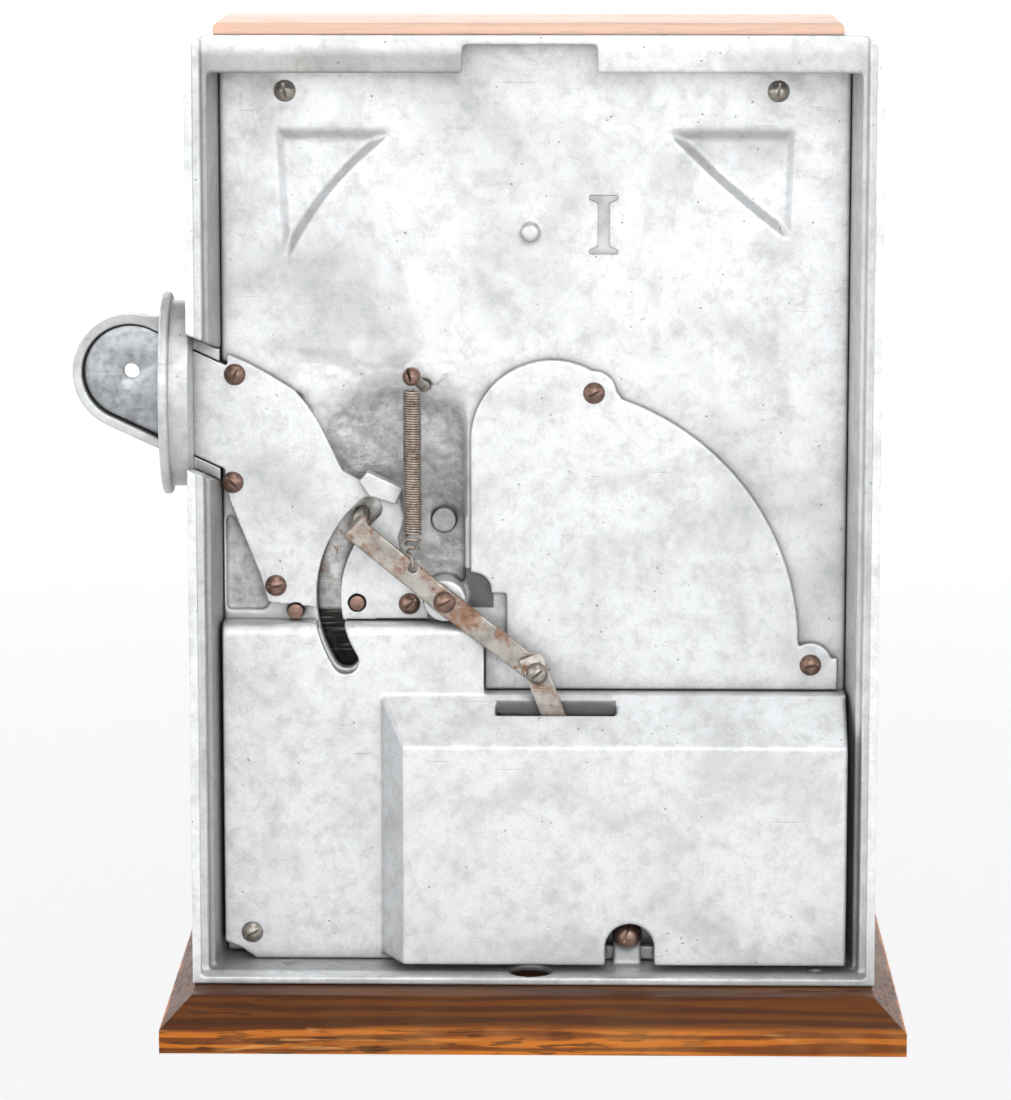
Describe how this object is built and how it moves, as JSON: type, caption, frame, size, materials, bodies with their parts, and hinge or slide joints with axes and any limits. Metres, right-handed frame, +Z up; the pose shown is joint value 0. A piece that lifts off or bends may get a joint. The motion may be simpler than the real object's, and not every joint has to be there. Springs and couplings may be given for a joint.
{
  "type": "coin pusher machine",
  "caption": "Counter-top penny flip game: cast case open at the back, oak base, side coin cup with slide, sprung lever with drop link, covers, housing and front window.",
  "frame": {"origin": "centre of the oak base's underside", "axes": "+Z up, the player stands at -Y, the open back faces +Y, the coin cup is on the +X side"},
  "size_m": [0.3562, 0.2, 0.4325],
  "materials": {
    "cast_aluminium": "sand cast, dull, scratched",
    "case_aluminium": "sand cast, rubbed rim",
    "oak": "varnished, open grain",
    "steel_strap": "worn, brown rust in patches",
    "dark_steel": "blue-grey, worn",
    "steel_screw": "slotted round head",
    "copper_screw": "tarnished brown",
    "spring_steel": "brown oxide",
    "glass": "clear pane",
    "field_paint": "satin green enamel",
    "brass": "polished, worn",
    "knob": "black, polished",
    "card": "plain aged card"
  },
  "bodies": {
    "cabinet": {"oak_base": "oak", "oak_top_board": "oak", "base_screws": "steel_screw", "case_casting": "case_aluminium", "mechanism_panel": "cast_aluminium", "panel_screws": "steel_screw", "mechanism_cover": "cast_aluminium", "mechanism_cover_screws": "copper_screw", "fan_cover": "cast_aluminium", "fan_cover_screws": "copper_screw", "locating_pin_1": "copper_screw", "locating_pin_2": "copper_screw", "hole_plug": "cast_aluminium", "lower_housing": "cast_aluminium", "housing_screw": "steel_screw", "hold_down_screw": "copper_screw", "coin_cup": "case_aluminium", "coin_cup_screws": "steel_screw", "pivot_screw": "copper_screw", "release_guides": "dark_steel", "return_spring": "spring_steel", "spring_post": "steel_screw", "spring_screw": "copper_screw", "front_casting": "cast_aluminium", "front_screws": "steel_screw", "window_glass": "glass", "playfield": "field_paint", "coin_track": "brass", "catch_cups": "brass", "playfield_pins": "brass", "award_card": "card", "award_card_frame": "brass", "payout_tray": "cast_aluminium", "payout_tray_screws": "steel_screw"},
    "lever": {"lever_strap": "steel_strap", "thumb_rod": "steel_screw", "thumb_knob": "knob", "slot_shield": "dark_steel", "link_screw": "steel_screw"},
    "link": {"drop_link": "steel_strap"},
    "release": {"release_plate": "dark_steel"},
    "slide": {"coin_slide": "dark_steel"}
  },
  "joints": [
    {"name": "lever_flip", "type": "hinge", "parent": "cabinet", "child": "lever", "pos_m": [0.0384, 0.0446, 0.1843], "axis": [0, 1, 0], "range_deg": [0, 70], "stiffness_Nm_per_rad": 0.15, "springref_deg": -40.11, "deforming": ["return_spring"]},
    {"name": "link_swing", "type": "hinge", "parent": "lever", "child": "link", "pos_m": [-0.00129, 0.0473, 0.15373], "axis": [0, 1, 0], "range_deg": [-71, 1]},
    {"name": "release_lift", "type": "slide", "parent": "cabinet", "child": "release", "axis": [0, 0, 1], "range_m": [0, 0.0576]},
    {"name": "coin_slide_push", "type": "slide", "parent": "cabinet", "child": "slide", "axis": [-0.9063, 0, -0.4226], "range_m": [0, 0.024]}
  ],
  "couplings": [
    {"joint": "link_swing", "follows": "lever_flip", "ratio": -1},
    {"joint": "release_lift", "follows": "lever_flip", "m_per_rad": 0.04699}
  ]
}
